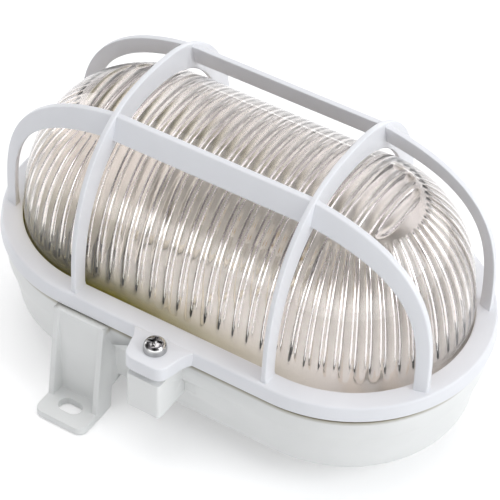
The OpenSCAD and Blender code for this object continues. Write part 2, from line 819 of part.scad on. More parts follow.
module terminal_block() color([0.96, 0.96, 0.94])
    translate([0, terminal_y, floor_z])
        difference() {
            translate([-pole_w - pole_gap / 2, -terminal_d / 2, 0])
                cube([2 * pole_w + pole_gap, terminal_d, terminal_h]);
            translate([-pole_gap / 2, -terminal_d, terminal_h / 2])
                cube([pole_gap, 2 * terminal_d, terminal_h]);
            for (s = [-1, 1], e = [-1, 1])
                translate([s * pole_x, e * terminal_d / 4, terminal_h - clamp_h - clamp_in])
                    cylinder(h = clamp_h + clamp_in + past, d = clamp_d + 2 * fit);
            for (s = [-1, 1])
                translate([s * pole_x, -terminal_d / 2 - past, terminal_h / 3])
                    rotate([-90, 0, 0])
                        cylinder(h = entry_l + past, d = lead_d + wire_room);
        }

module terminal_screw(s, e) color(brass)
    translate([s * pole_x, terminal_y + e * terminal_d / 4,
               floor_z + terminal_h - clamp_h - clamp_in])
        difference() {
            cylinder(h = clamp_h, d = clamp_d);
            translate([-clamp_d, -clamp_slot_w / 2, clamp_h - clamp_slot_h])
                cube([2 * clamp_d, clamp_slot_w, clamp_slot_h + past]);
        }

module terminal_screw_1() terminal_screw(-1, -1);
module terminal_screw_2() terminal_screw(-1, 1);
module terminal_screw_3() terminal_screw(1, -1);
module terminal_screw_4() terminal_screw(1, 1);

// Lead swept as a tube of eight sides through its points
lead_sides = 8;

function ring_at(p, d) =
    let (z = d / norm(d), ref = abs(z[2]) > 0.9 ? [1, 0, 0] : [0, 0, 1],
         u = cross(ref, z) / norm(cross(ref, z)), v = cross(z, u))
        [for (k = [0:lead_sides - 1])
            p + lead_d / 2 * (cos(360 * k / lead_sides) * u + sin(360 * k / lead_sides) * v)];

// Point of a smooth curve through a list of points
function smooth(p, i, t) =
    let (a = p[max(i - 1, 0)], b = p[i], c = p[i + 1], d = p[min(i + 2, len(p) - 1)])
        0.5 * (2 * b + (c - a) * t + (2 * a - 5 * b + 4 * c - d) * t * t
               + (3 * b - a - 3 * c + d) * t * t * t);

module lead(route) {
    steps = 4;
    path = concat([for (i = [0:len(route) - 2], k = [0:steps - 1]) smooth(route, i, k / steps)],
                  [route[len(route) - 1]]);
    last = len(path) - 1;
    rows = [for (i = [0:last])
        ring_at(path[i], path[min(i + 1, last)] - path[max(i - 1, 0)])];
    n = lead_sides;
    sides = [for (i = [0:last - 1], k = [0:n - 1])
        [n * i + k, n * i + n + k, n * i + n + (k + 1) % n, n * i + (k + 1) % n]];
    polyhedron([for (r = rows, p = r) p],
               concat([[for (k = [0:n - 1]) k]], sides, [[for (k = [n - 1:-1:0]) n * last + k]]),
               convexity = 8);
}

// Route of a lead: out of its pole, across the floor, round under the holder and up into a wire hole
// The pole and the side of the hole are given as -1 or 1
lead_lift = 0.4;
lead_z = floor_z + lead_d / 2 + lead_lift;
lead_out = 6.4;
lead_in = 3;

function lead_route(pole, side) =
    let (entry = [pole * pole_x, terminal_y - terminal_d / 2 + lead_in, floor_z + terminal_h / 3],
         bend = [entry[0], entry[1] - lead_out, lead_z],
         lane = [-wire_x + 24, side * (wire_hole_y + 12), lead_z],
         hole = [-wire_x, side * wire_hole_y, holder_low])
        concat(
            [for (d = [0, lead_out / 2, lead_out]) entry - [0, d, 0]],
            [for (t = [0.3, 0.65]) bend + t * (lane - bend)],
            [lane],
            [for (p = [[16, 10.5, 4], [11, 7.5, 8], [5.5, 3, 9.5]])
                [hole[0] + p[0], side * (wire_hole_y + p[1]), lead_z + p[2]]],
            [for (d = [-lead_in, 0.5, lead_in]) hole + [0, 0, d]]);

module live_lead() color(cream) lead(lead_route(-1, 1));
module neutral_lead() color(cream) lead(lead_route(1, -1));

base_housing();
guard_cage();
glass_dome();
glass_gasket();
cover_screw_front();
cover_screw_rear();
cover_nut_front();
cover_nut_rear();
holder_body();
holder_thread_shell();
centre_contact();
side_contact();
holder_bracket();
holder_screw_left();
holder_screw_right();
bracket_screw_left();
bracket_screw_right();
terminal_block();
terminal_screw_1();
terminal_screw_2();
terminal_screw_3();
terminal_screw_4();
live_lead();
neutral_lead();
cable_grommet();
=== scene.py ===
"""Looks of an oval wall light: fluted glass under a white guard cage, on a white moulded base.

Sizes are in millimetres and become metres where a mesh is made. Floor and lamps are in metres.
"""

import math

import bmesh
import bpy
import numpy as np
from bpy.props import FloatProperty, FloatVectorProperty, IntProperty, PointerProperty
from mathutils import Matrix, Vector


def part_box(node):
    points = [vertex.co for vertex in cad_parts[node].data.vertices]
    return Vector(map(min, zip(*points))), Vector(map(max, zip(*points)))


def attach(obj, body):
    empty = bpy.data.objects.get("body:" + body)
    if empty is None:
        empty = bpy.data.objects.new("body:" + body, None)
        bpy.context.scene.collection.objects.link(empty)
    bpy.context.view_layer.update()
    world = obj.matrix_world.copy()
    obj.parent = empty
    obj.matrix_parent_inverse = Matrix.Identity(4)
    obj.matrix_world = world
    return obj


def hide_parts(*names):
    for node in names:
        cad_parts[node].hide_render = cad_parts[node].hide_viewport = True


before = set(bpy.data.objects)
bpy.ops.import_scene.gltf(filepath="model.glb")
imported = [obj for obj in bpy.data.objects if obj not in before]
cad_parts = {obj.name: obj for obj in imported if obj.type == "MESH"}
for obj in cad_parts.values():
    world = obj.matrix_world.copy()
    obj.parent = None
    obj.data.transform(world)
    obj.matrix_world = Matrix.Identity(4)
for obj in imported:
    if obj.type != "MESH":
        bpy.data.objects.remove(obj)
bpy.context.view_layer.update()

bl_info = {
    "name": "Oval Wall Light",
    "version": (1, 0, 0),
    "blender": (4, 5, 0),
    "location": "View3D > Sidebar > Wall Light",
    "description": "Dresses an oval wall light with fluted glass and a guard cage",
    "category": "Object",
}

MM = 0.001

# Point attributes that the finishes read
FLUTED_SIDE = "fluted_side"
# Share of the painted olive at the glass's foot
PAINTED_FOOT = "painted_foot"
# Rim points that take the painted shade under the cage
SHADED_RIM = "shaded_rim"

# Levels above the wall and radii from the spine, as the solids have them
SPINE_HALF = 40.5
GASKET_TOP = 40.7
FLANGE_TOP = 43.2
RING_LOW = 40.6
RING_TOP = 46.0
RING_IN_R = 42.65
RING_TOP_R = 49.85
RING_R = 50.75
SKIRT_IN_R = 48.15
PLATE_T = RING_TOP - FLANGE_TOP
SCREW_Y = 55.0


# Shapes

# Points nearer than the first distance in metres are merged, and edges shorter than the second go
MERGE_M, DEGENERATE_M = 1e-6, 1e-7
# Faces that meet under the first angle in degrees are joined, and edges over the second rounded
FLAT_TO, BEVEL_FROM = 0.3, 30.0


def rounded(corners, reach, steps=4):
    """Rounds each corner P of closed outlines: between A and C, set back from P along both sides,
    the point at s is (1-s)^2 A + 2s(1-s) P + s^2 C."""
    corners = np.asarray(corners, float)
    back = np.roll(corners, 1, axis=-2) - corners
    ahead = np.roll(corners, -1, axis=-2) - corners
    back_l = np.linalg.norm(back, axis=-1)
    ahead_l = np.linalg.norm(ahead, axis=-1)
    reach = np.minimum(reach, 0.48 * np.minimum(back_l, ahead_l))[..., None]
    a = (corners + back / back_l[..., None] * reach)[..., None, :]
    c = (corners + ahead / ahead_l[..., None] * reach)[..., None, :]
    s = np.linspace(0, 1, steps + 1)[:, None]
    curve = (1 - s) ** 2 * a + 2 * s * (1 - s) * corners[..., None, :] + s ** 2 * c
    return curve.reshape(*corners.shape[:-2], -1, corners.shape[-1])


def oval(a, h, power, t):
    """Superellipse: across = a |cos t|^(2/power), up = h |sin t|^(2/power), with the signs kept."""
    across = np.sign(np.cos(t)) * a * np.abs(np.cos(t)) ** (2 / power)
    return np.stack([across, h * np.abs(np.sin(t)) ** (2 / power)], axis=-1)


def spine_stations(run_x, turn):
    """Spine points and headings once round: the front run, the right turn, the rear run and the
    left turn, with turn counted from -90 to 90 degrees."""
    n, m = len(run_x), len(turn)
    x = np.concatenate([run_x, np.full(m, SPINE_HALF), -run_x, np.full(m, -SPINE_HALF)])
    heading = np.concatenate([np.full(n, -90.0), turn, np.full(n, 90.0), turn + 180])
    return x, np.radians(heading)


def round_the_spine(section, x, heading):
    """Carries a section of radius and height round the spine: x + r cos(heading), then
    r sin(heading), then the height."""
    r, z = section[None, :, 0], section[None, :, 1]
    return np.stack([x[:, None] + r * np.cos(heading)[:, None],
                     r * np.sin(heading)[:, None], z + 0 * r * x[:, None]], axis=-1)


def grid_faces(rows, columns, start=0, ring=True):
    """Quads of a grid whose rows close: each joins a point to the next row and column. The last
    row meets the first in a ring."""
    i, j = np.meshgrid(np.arange(rows if ring else rows - 1), np.arange(columns), indexing="ij")
    k, m = (i + 1) % rows, (j + 1) % columns
    quads = np.stack([i * columns + j, k * columns + j, k * columns + m, i * columns + m], axis=-1)
    return quads.reshape(-1, 4) + start


def loop_grid(loops, turn):
    """Radii and levels of loops, each as a grid of loops by angles."""
    return (np.array([part + 0 * turn for part in parts]) for parts in zip(*loops))


def smooth_piece(mesh, sharp_angle):
    """An object of a mesh that is shaded smooth across edges up to the given angle."""
    mesh.shade_smooth()
    mesh.set_sharp_from_angle(angle=math.radians(sharp_angle))
    piece = bpy.data.objects.new(mesh.name, mesh)
    bpy.context.scene.collection.objects.link(piece)
    return piece


def make_piece(name, shells, sharp_angle=40.0, ring=True):
    """Makes one object from closed shells, each an array of rows by columns by 3 in millimetres.
    A shell is a ring of rows or ends in folded ones. Points that coincide are merged."""
    points, quads, start = [], [], 0
    for shell in shells:
        rows, columns = shell.shape[:2]
        faces = grid_faces(rows, columns, start, ring)
        p, q, r, s = (shell.reshape(-1, 3)[faces[:, k] - start] for k in range(4))
        volume = np.einsum("ij,ij->i", p, np.cross(q, r)) + np.einsum("ij,ij->i", p, np.cross(r, s))
        points.append(shell.reshape(-1, 3) * MM)
        quads.append(faces if volume.sum() > 0 else faces[:, ::-1])
        start += rows * columns
    mesh = bpy.data.meshes.new(name)
    mesh.from_pydata(np.concatenate(points), [], np.concatenate(quads))
    work = bmesh.new()
    work.from_mesh(mesh)
    bmesh.ops.remove_doubles(work, verts=work.verts, dist=MERGE_M)
    bmesh.ops.dissolve_degenerate(work, edges=work.edges, dist=DEGENERATE_M)
    work.to_mesh(mesh)
    work.free()
    return smooth_piece(mesh, sharp_angle)


def merged_mesh(node, name):
    """A copy of a CAD node's mesh with its coincident points merged."""
    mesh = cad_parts[node].data.copy()
    mesh.name = name
    work = bmesh.new()
    work.from_mesh(mesh)
    bmesh.ops.remove_doubles(work, verts=work.verts, dist=MERGE_M)
    work.to_mesh(mesh)
    work.free()
    mesh.materials.clear()
    return mesh


def mesh_points(mesh):
    """A mesh's points in millimetres."""
    points = np.empty(3 * len(mesh.vertices), np.float32)
    mesh.vertices.foreach_get("co", points)
    return points.reshape(-1, 3) / MM


def spine_radius(points):
    """Distance of points from the spine, seen from above."""
    return np.hypot(np.maximum(0, np.abs(points[:, 0]) - SPINE_HALF), points[:, 1])


def add_values(mesh, name, values):
    """Keeps one value for each point as an attribute."""
    attribute = mesh.attributes.new(name, "FLOAT", "POINT")
    attribute.data.foreach_set("value", values.astype(np.float32))


def round_edges(mesh, inside, edge):
    """Rounds the edges over BEVEL_FROM degrees whose two points both lie in the given mask of
    points, once their flat faces are joined."""
    work = bmesh.new()
    work.from_mesh(mesh)
    work.verts.ensure_lookup_table()
    free = [work.verts[k] for k in np.flatnonzero(inside)]
    chosen = set(free)
    edges = [e for e in work.edges if chosen.issuperset(e.verts)]
    bmesh.ops.dissolve_limit(work, angle_limit=math.radians(FLAT_TO), verts=free, edges=edges)
    chosen = {v for v in free if v.is_valid}
    corners = [e for e in work.edges if chosen.issuperset(e.verts) and len(e.link_faces) == 2
               and e.calc_face_angle(0) > math.radians(BEVEL_FROM)]
    bmesh.ops.bevel(work, geom=corners, offset=edge * MM, segments=2, profile=0.5,
                    affect="EDGES", clamp_overlap=False)
    work.to_mesh(mesh)
    work.free()


# Finishes

# Middle band of a noise, the band in which a mottled colour drifts, and how strongly a grain bumps
NOISE_BAND = (0.3, 0.7)
DRIFT_BAND = (0.35, 0.65)
GRAIN_STRENGTH = 0.5

# Glass: index of refraction, roughness outside and where the fluted side is softest, cells per
# metre and detail of its waves, their strength and height, what it leaves of a lamp's light, and
# the painted olive at its foot, which stands for the gasket seen through the glass
GLASS_IOR = 1.5
OUTER_ROUGHNESS, INNER_ROUGHNESS = 0.02, 0.24
WAVES = (260.0, 2.0)
WAVE_STRENGTH, WAVE_HEIGHT = 0.25, 0.03
SHADE_TINT = (0.89, 0.85, 0.82)
FOOT_PAINTED_OLIVE = (0.31, 0.275, 0.045)

# Painted shade at the seam under the cage: its levels and tone
SEAM_FROM, SEAM_TO = 36.5, 38.1
SEAM_SHADE_TONE = (0.36, 0.33, 0.25)


def new_material(name):
    """A new material, its node tree and its Principled shader."""
    material = bpy.data.materials.new(name)
    material.use_nodes = True
    tree = material.node_tree
    return material, tree, tree.nodes["Principled BSDF"]


def read_attribute(tree, name):
    """A point attribute's value."""
    node = tree.nodes.new("ShaderNodeAttribute")
    node.attribute_name = name
    return node.outputs["Fac"]


def map_range(tree, source, reach, result):
    """Maps a value evenly from one range onto another and holds it at both ends."""
    node = tree.nodes.new("ShaderNodeMapRange")
    node.inputs["From Min"].default_value, node.inputs["From Max"].default_value = reach
    node.inputs["To Min"].default_value, node.inputs["To Max"].default_value = result
    tree.links.new(source, node.inputs["Value"])
    return node.outputs["Result"]


def combine(tree, operation, *values):
    """A Math operation on sockets and plain numbers."""
    node = tree.nodes.new("ShaderNodeMath")
    node.operation = operation
    for socket, value in zip(node.inputs, values):
        if isinstance(value, bpy.types.NodeSocket):
            tree.links.new(value, socket)
        else:
            socket.default_value = value
    return node.outputs["Value"]


def rays(tree, *kinds):
    """1 on rays of the given kinds, else 0."""
    path = tree.nodes.new("ShaderNodeLightPath")
    total = path.outputs[kinds[0]]
    for kind in kinds[1:]:
        total = combine(tree, "MAXIMUM", total, path.outputs[kind])
    return total


def colour_ramp(tree, source, stops):
    """Colours along a value, through stops of place and colour."""
    node = tree.nodes.new("ShaderNodeValToRGB")
    elements = node.color_ramp.elements
    elements.remove(elements[1])
    elements[0].position, elements[0].color = stops[0][0], (*stops[0][1], 1)
    for place, colour in stops[1:]:
        elements.new(place).color = (*colour, 1)
    tree.links.new(source, node.inputs["Fac"])
    return node.outputs["Color"]


def mix_shaders(tree, share, first, second):
    """Mixes two shaders by the share of the second."""
    node = tree.nodes.new("ShaderNodeMixShader")
    for socket, source in zip(node.inputs, (share, first, second)):
        tree.links.new(source, socket)
    return node.outputs["Shader"]


def add_noise(tree, scale, detail=3.0):
    """Noise on Object coordinates, in cells per metre."""
    coordinates = tree.nodes.get("Coordinates") or tree.nodes.new("ShaderNodeTexCoord")
    coordinates.name = "Coordinates"
    noise = tree.nodes.new("ShaderNodeTexNoise")
    noise.inputs["Scale"].default_value = scale
    noise.inputs["Detail"].default_value = detail
    tree.links.new(coordinates.outputs["Object"], noise.inputs["Vector"])
    return noise.outputs["Fac"]


def add_bump(tree, shader, source, strength, height):
    """Bumps a shader by a value that stands for a height in millimetres."""
    bump = tree.nodes.new("ShaderNodeBump")
    bump.inputs["Strength"].default_value = strength
    bump.inputs["Distance"].default_value = height * MM
    tree.links.new(source, bump.inputs["Height"])
    tree.links.new(bump.outputs["Normal"], shader.inputs["Normal"])


def shaded(colour, share):
    """A colour times a share."""
    return tuple(share * c for c in colour)


def mottled(name, colour, shade, roughness, metallic=0.0, mottle=60.0, grain=900.0,
            grain_height=0.02):
    """A finish whose colour drifts between colour and shade, with a fine grain that bumps it."""
    material, tree, shader = new_material(name)
    drift = colour_ramp(tree, add_noise(tree, mottle), tuple(zip(DRIFT_BAND, (shade, colour))))
    tree.links.new(drift, shader.inputs["Base Color"])
    texture = add_noise(tree, grain)
    tree.links.new(map_range(tree, texture, NOISE_BAND, roughness), shader.inputs["Roughness"])
    add_bump(tree, shader, texture, GRAIN_STRENGTH, grain_height)
    shader.inputs["Metallic"].default_value = metallic
    return material


def painted_seam_shade(material):
    """Paints shade on a plastic towards the seam under the cage, from SEAM_FROM up to SEAM_TO, on
    the base's rim alone, so it fades across faces that run out onto the lugs and bosses."""
    tree = material.node_tree
    base_colour = tree.nodes["Principled BSDF"].inputs["Base Color"]
    place = tree.nodes.new("ShaderNodeSeparateXYZ")
    tree.links.new(tree.nodes["Coordinates"].outputs["Object"], place.inputs["Vector"])
    near = map_range(tree, place.outputs["Z"], (SEAM_FROM * MM, SEAM_TO * MM), (0, 1))
    seam_shade = tree.nodes.new("ShaderNodeMix")
    seam_shade.data_type = "RGBA"
    seam_shade.inputs["B"].default_value = (*SEAM_SHADE_TONE, 1)
    tree.links.new(combine(tree, "MULTIPLY", near, read_attribute(tree, SHADED_RIM)),
                   seam_shade.inputs["Factor"])
    tree.links.new(base_colour.links[0].from_socket, seam_shade.inputs["A"])
    tree.links.new(seam_shade.outputs["Result"], base_colour)
    return material


def pressed_glass(name, tint):
    """Clear glass with the slight waviness that pressing leaves, softer on the fluted side, with
    painted olive at its foot that stands for the gasket seen through it, deeper towards -X as
    painted shade. Lamps shine through it."""
    material, tree, shader = new_material(name)
    shader.inputs["Transmission Weight"].default_value = 1.0
    shader.inputs["IOR"].default_value = GLASS_IOR
    foot_paint = colour_ramp(tree, read_attribute(tree, PAINTED_FOOT), ((0, tint), (1, FOOT_PAINTED_OLIVE)))
    tree.links.new(foot_paint, shader.inputs["Base Color"])
    softness = map_range(tree, read_attribute(tree, FLUTED_SIDE), (0, 1),
                         (OUTER_ROUGHNESS, INNER_ROUGHNESS))
    tree.links.new(softness, shader.inputs["Roughness"])
    clear = tree.nodes.new("ShaderNodeBsdfTransparent")
    clear.inputs["Color"].default_value = (*SHADE_TINT, 1)
    surface = mix_shaders(tree, rays(tree, "Is Shadow Ray"), shader.outputs[0], clear.outputs[0])
    tree.links.new(surface, tree.nodes["Material Output"].inputs["Surface"])
    add_bump(tree, shader, add_noise(tree, *WAVES), WAVE_STRENGTH, WAVE_HEIGHT)
    return material


def finish_piece(piece, material, node):
    """Gives a new piece its material, hangs it under the root body and hides the CAD node that it
    stands for.
    """
    piece.data.materials.append(material)
    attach(piece, "root")
    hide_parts(node)


def dress(material, *nodes):
    """Puts a material on CAD nodes."""
    for node in nodes:
        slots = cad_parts[node].data.materials
        slots.clear()
        slots.append(material)


# Settings that a user would change

def colour_property(name, description, default):
    """A colour among the settings."""
    return FloatVectorProperty(name=name, description=description, default=default,
                               subtype="COLOR", size=3, min=0.0, max=1.0)


class GlassSettings(bpy.types.PropertyGroup):
    """Sizes and tint of the fluted glass."""
    flute_pitch: FloatProperty(name="Flute pitch", description="Spacing of the cross flutes",
                               default=5.33 * MM, unit="LENGTH")
    flute_height: FloatProperty(name="Flute height", description="Height of a flute's crest",
                                default=1.4 * MM, unit="LENGTH")
    cuts: IntProperty(name="Cuts", description="Grid steps across one flute", default=9, min=4)
    tint: colour_property("Tint", "Tint of the glass", (0.995, 0.958, 0.938))


class CageSettings(bpy.types.PropertyGroup):
    """Sizes and colour of the guard cage."""
    edge: FloatProperty(name="Edge", description="Rounding of the bars' edges",
                        default=0.55 * MM, unit="LENGTH")
    colour: colour_property("Colour", "Colour of the cage", (0.83, 0.84, 0.87))


class BaseSettings(bpy.types.PropertyGroup):
    """Colour of the base."""
    colour: colour_property("Colour", "Colour of the base", (0.85, 0.86, 0.85))


class StageSettings(bpy.types.PropertyGroup):
    """Camera and light round the object."""
    azimuth: FloatProperty(name="Azimuth", description="Camera's turn round the object",
                           default=math.radians(30.2478), subtype="ANGLE")
    elevation: FloatProperty(name="Elevation", description="Camera's height above the horizon",
                             default=math.radians(43.3312), subtype="ANGLE")
    roll: FloatProperty(name="Roll", description="Camera's turn about its own axis",
                        default=math.radians(2.4228), subtype="ANGLE")
    distance: FloatProperty(name="Distance", description="Camera's distance from its target",
                            default=711.7 * MM, unit="LENGTH")
    ambient: FloatProperty(name="Ambient", description="Strength of the world's soft light",
                           default=0.55, min=0.0)
    key: FloatProperty(name="Key", description="Power of the lamp over the light's right end",
                       default=13.5, min=0.0)


# Glass

# Section: power of the oval, outer radius, rise above the ring, wall, flange radius, and the
# roundings of the rim's corners
GLASS_POWER = 2.25
GLASS_R = 42.25
GLASS_RISE = 52.3
GLASS_WALL = 3.0
FLANGE_R = 47.65
RIM_CORNERS = (0.0, 0.5, 0.7, 0.5, 0.4, 0.0)

# Flutes: a crest's width in pitches, height of the lower tips and how far they run out, length of
# the tips at a field, radius of the round fields, their gap to the fans, how far the cross flutes
# pass the spine's end, and the fans' pitch at the wall as a share of the cross flutes' pitch
RIDGE_W = 0.8
TIP_H = 1.6
LOW_RUN = 13.0
TIP_L = 2.8
FIELD_R = 19.6
FIELD_GAP = 1.6
CROSS_PAST = 1.5
FAN_CROWDING = 0.89

# From a crest's middle to its outermost grid places in crest widths: a hair over half
CREST_FOOT = 0.5005
# Points on a line up the side and over the top, for the cavity and for the outside
INNER_LINES = (50, 40)
OUTER_LINES = (18, 12)
PROFILE_STEPS = 4000
# The run's lines stop this short of its ends. The fan's lines, which go on down the rear, stop
# short of 90 degrees, where the end line lies
RUN_MARGIN = 0.02
FAN_END = 89.99

# Softness of the fluted side: its share on the side, the levels between which it becomes full over
# the crown, and the level below which it becomes full at the foot
SIDE_SOFTNESS = 0.12
SOFT_FROM, SOFT_TO = 36.0, 44.0
FOOT_SOFT_H, FOOT_SOFT_FADE = 4.0, 2.0
# Painted olive at the foot, the gasket seen through the glass and deeper towards -X as painted
# shade: height over which it fades, and where along the light it ends and over what run
FOOT_PAINT_H = 12.0
FOOT_PAINT_X, FOOT_PAINT_RUN = 60.0, 84.0
# Depth in the wall that parts the outside from the fluted side
MID_WALL = 1.0
# Edges over this many degrees stay sharp
SHARP_GLASS = 60.0


def crest(across, height, share):
    """A flute's height in pitches: a half oval of RIDGE_W by the given height, sunk into the wall
    where its share of that height is less than 1: height (sqrt(1 - (2a/w)^2) - 1 + share)."""
    half_oval = np.sqrt(np.maximum(0, 1 - (2 * across / RIDGE_W) ** 2))
    return height * np.maximum(0, half_oval - 1 + share)


def run_out(way, length):
    """Share of a flute's height at a way from its tip: 1 - (1 - way / length)^2, up to 1."""
    return 1 - (1 - np.clip(way / length, 0, 1)) ** 2


def place_across(v, step):
    """Place across a flute, from -0.5 to 0.5."""
    return v / step - np.floor(v / step) - 0.5


def flute_places(count, cuts):
    """Grid places along a row of flutes, in flutes: 0.5 + CREST_FOOT RIDGE_W sin(a) in each, for
    evenly spaced a, which crowds them where a flute meets the wall."""
    ridge = CREST_FOOT * RIDGE_W * np.sin(np.linspace(-math.pi / 2, math.pi / 2, cuts))
    one = np.concatenate([[0.0], 0.5 + ridge])
    return np.append((np.arange(count)[:, None] + one).ravel(), count)


def fan_layout(pitch):
    """How the flutes part: where the cross flutes end, the fan's first angle and its flutes."""
    cross_end = round((SPINE_HALF + CROSS_PAST) / pitch) * pitch
    cavity_r = GLASS_R - GLASS_WALL
    fan_from = math.degrees(math.asin((cross_end - SPINE_HALF) / cavity_r))
    fan_count = round(math.radians(180 - 2 * fan_from) * cavity_r / (FAN_CROWDING * pitch))
    return cross_end, fan_from, fan_count


def flute_lift(x, y, h, pitch, height):
    """Flute height at points of the cavity, x along the light, y across it and h above the ring:
    cross flutes over the straight run and the round fields, and a fan of flutes round each field,
    whose pitch shrinks with the radius. All run out over LOW_RUN above the ring."""
    cross_end, fan_from, fan_count = fan_layout(pitch)
    beyond = np.maximum(0, np.abs(x) - SPINE_HALF)
    radius = np.hypot(beyond, y)
    angle = np.degrees(np.arctan2(y, beyond))
    low = run_out(h - TIP_H, LOW_RUN)
    field = np.where(np.abs(x) < cross_end, 1, run_out(FIELD_R - radius, TIP_L))
    cross = pitch * crest(place_across(x, pitch), height / pitch, np.minimum(low, field))
    fan_step = (180 - 2 * fan_from) / fan_count
    fan_pitch = radius * math.radians(fan_step)
    share = np.minimum(low, run_out(radius - FIELD_R - FIELD_GAP, TIP_L))
    fan = fan_pitch * crest(place_across(angle + 90 - fan_from, fan_step), height / pitch, share)
    return np.maximum(cross, np.where(np.abs(angle) < 90 - fan_from, fan, 0) * (beyond > 0))


def side_profile(a, h, from_r, rows):
    """Radius and height of an oval section from the rim up to a radius, with more rows near both
    ends: the way along it is half s and half (1 - cos(pi s)) / 2."""
    fine = oval(a, h, GLASS_POWER, np.linspace(0, math.pi / 2, PROFILE_STEPS))
    fine = fine[fine[:, 0] >= from_r]
    length = np.concatenate([[0], np.cumsum(np.linalg.norm(np.diff(fine, axis=0), axis=1))])
    s = np.linspace(0, 1, rows)
    even = length[-1] * (0.5 * s + 0.25 * (1 - np.cos(math.pi * s)))
    return np.stack([np.interp(even, length, fine[:, k]) for k in (0, 1)], axis=-1)


def section_lines(a, h, lines_x, lines_angle, rows, chords):
    """Points of an oval dome on lines that cross the light. A line climbs the front at its angle
    from the spine, crosses the top at one x, and goes down the rear: rows points, then chords
    points, then rows points. On the end lines both halves coincide."""
    seam = FIELD_R + FIELD_GAP
    side = side_profile(a, h, seam, rows)
    sweep, along = np.cos(lines_angle)[:, None], np.sin(lines_angle)[:, None]
    front = np.stack([lines_x[:, None] + side[None, :, 0] * sweep, -side[None, :, 0] * along,
                      side[None, :, 1] + 0 * sweep], axis=-1)
    top_r = side[-1, 0]
    v = np.linspace(-1, 1, chords + 2)[None, 1:-1]
    y = v * top_r * along
    x = lines_x[:, None] + top_r * sweep + 0 * v
    r = np.hypot(top_r * sweep, y)
    top = np.stack([x, y, h * (1 - (r / a) ** GLASS_POWER) ** (1 / GLASS_POWER)], axis=-1)
    rear = front[:, ::-1] * [1, -1, 1]
    return np.concatenate([front, top, rear], axis=1)


def fluted_glass(pitch, height, cuts):
    """One closed shell, as a row of closed loops that cross the light: over the cavity, whose wall
    is moved inwards along its normal by the flute height, round the flange and over the outside."""
    cross_end, fan_from, fan_count = fan_layout(pitch)
    run = flute_places(2 * round(cross_end / pitch), cuts) * pitch - cross_end
    run = run[np.abs(run) < SPINE_HALF - RUN_MARGIN]
    fan = fan_from + flute_places(fan_count, cuts) * (180 - 2 * fan_from) / fan_count
    quarter = np.radians(np.concatenate([[0.0], np.linspace(90 - fan_from, 90, 4)]))
    fan = np.radians(90 - fan[fan < FAN_END])[::-1]
    quarter = np.unique(np.concatenate([quarter, fan]).round(7))
    x = np.concatenate([np.full(len(quarter), -SPINE_HALF), run, np.full(len(quarter), SPINE_HALF)])
    angle = np.concatenate([math.pi - quarter, np.full(len(run), math.pi / 2), quarter[::-1]])
    cavity_r, cavity_rise = GLASS_R - GLASS_WALL, GLASS_RISE - GLASS_WALL
    inner = section_lines(cavity_r, cavity_rise, x, angle, *INNER_LINES)
    beyond = np.maximum(0, np.abs(inner[..., 0]) - SPINE_HALF) * np.sign(inner[..., 0])
    radius = np.hypot(beyond, inner[..., 1])
    slope_r = (radius / cavity_r) ** (GLASS_POWER - 1) / cavity_r
    slope_z = (inner[..., 2] / cavity_rise) ** (GLASS_POWER - 1) / cavity_rise
    flat = slope_r / np.maximum(radius, 1e-6)
    normal = np.stack([beyond * flat, inner[..., 1] * flat, slope_z], axis=-1)
    normal /= np.linalg.norm(normal, axis=-1, keepdims=True)
    lift = flute_lift(inner[..., 0], inner[..., 1], inner[..., 2], pitch, height)
    inner = inner - lift[..., None] * normal + [0, 0, RING_TOP]
    outer = section_lines(GLASS_R, GLASS_RISE, x, angle, *OUTER_LINES)[:, ::-1]
    outer = outer + [0, 0, RING_TOP]
    rim = rounded([[GLASS_R, RING_TOP], [GLASS_R, FLANGE_TOP], [FLANGE_R, FLANGE_TOP],
                   [FLANGE_R, GASKET_TOP], [cavity_r, GASKET_TOP], [cavity_r, RING_TOP]],
                  np.array(RIM_CORNERS), 3)[4:-4]
    down = np.stack([x[:, None] + rim[None, :, 0] * np.cos(angle)[:, None],
                     -rim[None, :, 0] * np.sin(angle)[:, None],
                     rim[None, :, 1] + 0 * x[:, None]], axis=-1)
    return np.concatenate([inner, down[:, ::-1] * [1, -1, 1], outer, down], axis=1)


class GLASS_OT_make(bpy.types.Operator):
    """Makes the fluted glass in place of the plain dome"""
    bl_idname = "wall_light.glass"
    bl_label = "Fluted glass"

    def execute(self, context):
        s = context.scene.wall_light_glass
        shell = fluted_glass(s.flute_pitch / MM, s.flute_height / MM, s.cuts)
        piece = make_piece("fluted_glass", [shell], SHARP_GLASS, ring=False)
        points = mesh_points(piece.data)
        up = np.maximum(0, points[:, 2] - RING_TOP)
        inside = ((spine_radius(points) / (GLASS_R - MID_WALL)) ** GLASS_POWER
                  + (up / (GLASS_RISE - MID_WALL)) ** GLASS_POWER < 1)
        crown = np.clip((up - SOFT_FROM) / (SOFT_TO - SOFT_FROM), 0, 1)
        softness = np.maximum(SIDE_SOFTNESS + (1 - SIDE_SOFTNESS) * crown,
                              np.clip((FOOT_SOFT_H - up) / FOOT_SOFT_FADE, 0, 1))
        add_values(piece.data, FLUTED_SIDE, inside * softness)
        # Painted olive at the foot: the gasket seen through the glass, fading upwards, deeper
        # towards -X as painted shade
        low = np.clip(1 - up / FOOT_PAINT_H, 0, 1)
        add_values(piece.data, PAINTED_FOOT,
                   low * np.clip((FOOT_PAINT_X - points[:, 0]) / FOOT_PAINT_RUN, 0, 1))
        finish_piece(piece, pressed_glass("pressed_glass", s.tint), "glass_dome")
        return {"FINISHED"}


# Guard cage

# Ring: roundings of the skirt's corners, and stations along the run and round a turn
SKIRT_CORNERS = (0.3, 0.5, 0.3, 0.5)
RING_STATIONS = (9, 73)

